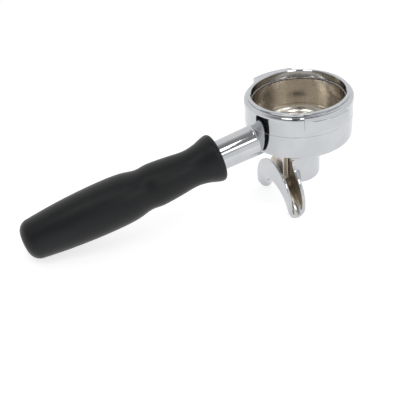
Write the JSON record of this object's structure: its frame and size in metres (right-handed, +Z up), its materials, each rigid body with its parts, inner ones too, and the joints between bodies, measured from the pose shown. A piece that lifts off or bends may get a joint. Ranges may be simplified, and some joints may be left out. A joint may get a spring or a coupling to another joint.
{
  "type": "portafilter",
  "caption": "Espresso machine portafilter: round metal cup with bayonet lugs, a neck with a moulded grip, and an open double spout screwed under the cup.",
  "frame": {"origin": "on the cup's axis, in the plane of the rim, where the group's gasket seals", "axes": "+Z up along the cup's axis out of its mouth, -Y towards the handle, X through the two lugs and the two spouts"},
  "size_m": [0.0786, 0.2256, 0.082],
  "materials": {
    "plated_brass": "polished chrome plate",
    "spring_steel": "drawn wire",
    "plated_spout": "polished chrome plate",
    "seal_rubber": "matte",
    "grip_plastic": "fine satin moulding",
    "bare_brass": "turned",
    "zinc_steel": "zinc plated",
    "washer_steel": "stamped"
  },
  "bodies": {
    "cup": {"portafilter_body": "plated_brass", "basket_spring": "spring_steel", "handle_stud": "zinc_steel"},
    "seal": {"spout_seal": "seal_rubber"},
    "spout": {"double_spout": "plated_spout"},
    "washer": {"handle_washer": "washer_steel"},
    "grip": {"handle_grip": "grip_plastic", "handle_insert": "bare_brass"}
  },
  "joints": [
    {"name": "seal_slide", "type": "slide", "parent": "cup", "child": "seal", "axis": [0, 0, -1], "range_m": [0, 0.00702]},
    {"name": "spout_unscrew", "type": "hinge", "parent": "seal", "child": "spout", "pos_m": [0, 0, -0.04], "axis": [0, 0, -1], "range_deg": [0, 1890]},
    {"name": "washer_slide", "type": "slide", "parent": "cup", "child": "washer", "axis": [0, -0.991, -0.134], "range_m": [0, 0.0154]},
    {"name": "grip_unscrew", "type": "hinge", "parent": "washer", "child": "grip", "pos_m": [0, -0.06184, -0.03009], "axis": [0, -0.991, -0.134], "range_deg": [0, 3150]}
  ],
  "couplings": [
    {"joint": "seal_slide", "follows": "spout_unscrew", "m_per_rad": 0.00021279},
    {"joint": "washer_slide", "follows": "grip_unscrew", "m_per_rad": 0.00027852}
  ]
}
